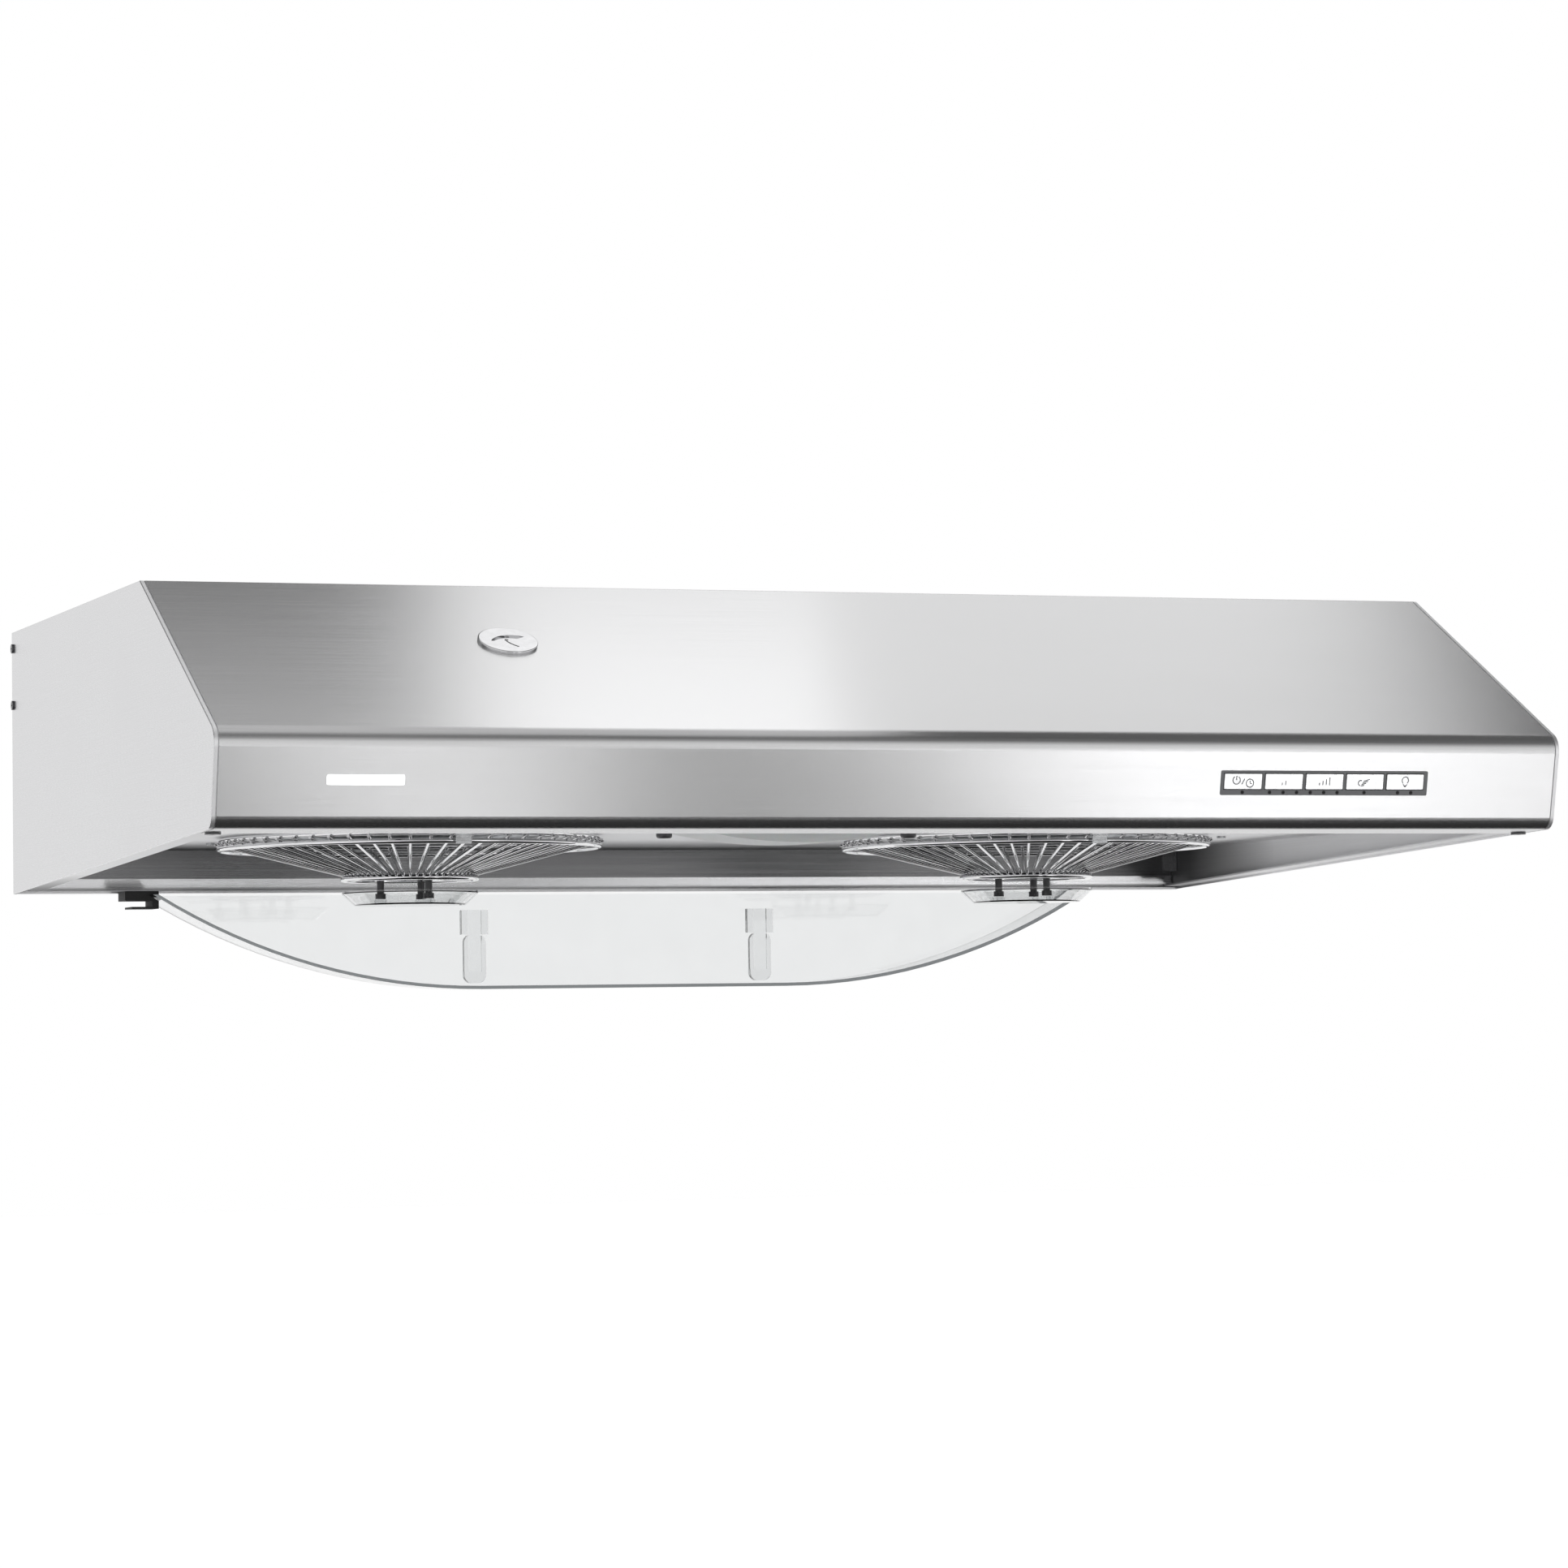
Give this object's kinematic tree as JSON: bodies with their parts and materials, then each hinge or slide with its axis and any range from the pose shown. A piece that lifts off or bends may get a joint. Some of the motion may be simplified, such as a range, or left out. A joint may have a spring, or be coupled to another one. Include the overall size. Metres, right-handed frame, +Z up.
{
  "type": "under-cabinet range hood",
  "caption": "Slim wall and cabinet mounted range hood with sloped stainless front, conical wire fan grilles, clear oil cups and tray, push buttons and top duct outlet",
  "frame": {"origin": "centre of the flat top panel, on its upper face, which meets the underside of the cabinet", "axes": "+X to the right seen from the front, +Y towards the wall, +Z up"},
  "size_m": [0.7584, 0.5316, 0.229],
  "materials": {
    "brushed_stainless": "horizontal brushed stainless steel",
    "satin_stainless": "fine satin stainless steel",
    "dark_stainless": "brushed stainless steel in shade",
    "galvanised": "zinc-coated sheet",
    "motor_shell": "black enamelled motor shell",
    "impeller_steel": "dark grey coated steel",
    "zinc_steel": "bright zinc plate",
    "chrome_wire": "bright chrome-plated wire",
    "dark_post": "blackened spring steel",
    "dark_screw": "blackened pan-head screw",
    "polished_trim": "polished stainless trim",
    "bezel_grey": "dark grey moulded plastic",
    "button_silver": "silver-painted plastic",
    "indicator_black": "smoked light pipe",
    "board_green": "green circuit board",
    "board_white": "white lamp board",
    "white_plastic": "white moulded plastic",
    "black_plastic": "black moulded plastic",
    "black_rubber": "black rubber",
    "hose_clear": "milky silicone hose",
    "lead_grey": "grey sheathed lead",
    "lens_frosted": "frosted lamp cover",
    "clear_plastic": "clear moulded plastic"
  },
  "bodies": {
    "hood": {"front_and_top_panel": "brushed_stainless", "left_side_panel": "satin_stainless", "right_side_panel": "satin_stainless", "back_panel": "dark_stainless", "fan_deck": "satin_stainless", "left_scroll_housing": "galvanised", "right_scroll_housing": "galvanised", "left_inlet_ring": "galvanised", "right_inlet_ring": "galvanised", "left_motor": "motor_shell", "right_motor": "motor_shell", "outlet_plenum": "galvanised", "duct_collar": "galvanised", "damper_spindle": "zinc_steel", "control_bezel": "bezel_grey", "control_board": "board_green", "indicator_lights": "indicator_black", "cleaner_inlet_neck": "white_plastic", "cleaner_reservoir": "white_plastic", "cleaner_pump": "black_plastic", "spray_hoses": "hose_clear", "spray_nozzles": "black_plastic", "lamp_housing": "galvanised", "lamp_board": "board_white", "lamp_lens": "lens_frosted", "lamp_screws": "dark_screw", "terminal_box": "galvanised", "motor_capacitors": "white_plastic", "cable_gland": "black_plastic", "wiring_leads": "lead_grey", "grille_clips": "zinc_steel", "case_screws": "dark_screw", "blower_screws": "zinc_steel", "front_badge": "polished_trim"},
    "left_fan": {"left_impeller": "impeller_steel", "left_motor_shaft": "zinc_steel", "left_impeller_nut": "zinc_steel"},
    "right_fan": {"right_impeller": "impeller_steel", "right_motor_shaft": "zinc_steel", "right_impeller_nut": "zinc_steel"},
    "left_grille": {"left_grille_rings": "chrome_wire", "left_grille_spokes": "chrome_wire", "left_cup_posts": "dark_post"},
    "right_grille": {"right_grille_rings": "chrome_wire", "right_grille_spokes": "chrome_wire", "right_cup_posts": "dark_post"},
    "left_cup": {"left_oil_cup": "clear_plastic"},
    "right_cup": {"right_oil_cup": "clear_plastic"},
    "rear_tray": {"rear_oil_tray": "clear_plastic", "tray_end_clip": "black_rubber"},
    "inlet_cap": {"cleaner_inlet_cap": "polished_trim"},
    "left_damper": {"left_damper_flap": "galvanised"},
    "right_damper": {"right_damper_flap": "galvanised"},
    "power_timer_key": {"power_timer_button": "button_silver"},
    "low_speed_key": {"low_speed_button": "button_silver"},
    "high_speed_key": {"high_speed_button": "button_silver"},
    "clean_key": {"clean_button": "button_silver"},
    "light_key": {"light_button": "button_silver"}
  },
  "joints": [
    {"name": "left_fan_spin", "type": "hinge", "parent": "hood", "child": "left_fan", "pos_m": [-0.19, -0.032, -0.09], "axis": [0, 0, 1], "continuous": true},
    {"name": "right_fan_spin", "type": "hinge", "parent": "hood", "child": "right_fan", "pos_m": [0.19, -0.032, -0.09], "axis": [0, 0, 1], "continuous": true},
    {"name": "left_grille_drop", "type": "slide", "parent": "hood", "child": "left_grille", "axis": [0, 0, -1], "range_m": [0, 0.06]},
    {"name": "right_grille_drop", "type": "slide", "parent": "hood", "child": "right_grille", "axis": [0, 0, -1], "range_m": [0, 0.06]},
    {"name": "left_cup_pull", "type": "slide", "parent": "left_grille", "child": "left_cup", "axis": [0, 0, -1], "range_m": [0, 0.03]},
    {"name": "right_cup_pull", "type": "slide", "parent": "right_grille", "child": "right_cup", "axis": [0, 0, -1], "range_m": [0, 0.03]},
    {"name": "rear_tray_drop", "type": "slide", "parent": "hood", "child": "rear_tray", "axis": [0, 0, -1], "range_m": [0, 0.055]},
    {"name": "inlet_cap_pull", "type": "slide", "parent": "hood", "child": "inlet_cap", "axis": [0, -0.4655, 0.885], "range_m": [0, 0.025]},
    {"name": "left_damper_swing", "type": "hinge", "parent": "hood", "child": "left_damper", "pos_m": [0, 0.09, -0.004], "axis": [0, 1, 0], "range_deg": [0, 80]},
    {"name": "right_damper_swing", "type": "hinge", "parent": "hood", "child": "right_damper", "pos_m": [0, 0.09, -0.004], "axis": [0, -1, 0], "range_deg": [0, 80]},
    {"name": "power_timer_press", "type": "slide", "parent": "hood", "child": "power_timer_key", "axis": [0, 0.9764, 0.2159], "range_m": [0, 0.0012], "stiffness_N_per_m": 400},
    {"name": "low_speed_press", "type": "slide", "parent": "hood", "child": "low_speed_key", "axis": [0, 0.9764, 0.2159], "range_m": [0, 0.0012], "stiffness_N_per_m": 400},
    {"name": "high_speed_press", "type": "slide", "parent": "hood", "child": "high_speed_key", "axis": [0, 0.9764, 0.2159], "range_m": [0, 0.0012], "stiffness_N_per_m": 400},
    {"name": "clean_press", "type": "slide", "parent": "hood", "child": "clean_key", "axis": [0, 0.9764, 0.2159], "range_m": [0, 0.0012], "stiffness_N_per_m": 400},
    {"name": "light_press", "type": "slide", "parent": "hood", "child": "light_key", "axis": [0, 0.9764, 0.2159], "range_m": [0, 0.0012], "stiffness_N_per_m": 400}
  ]
}
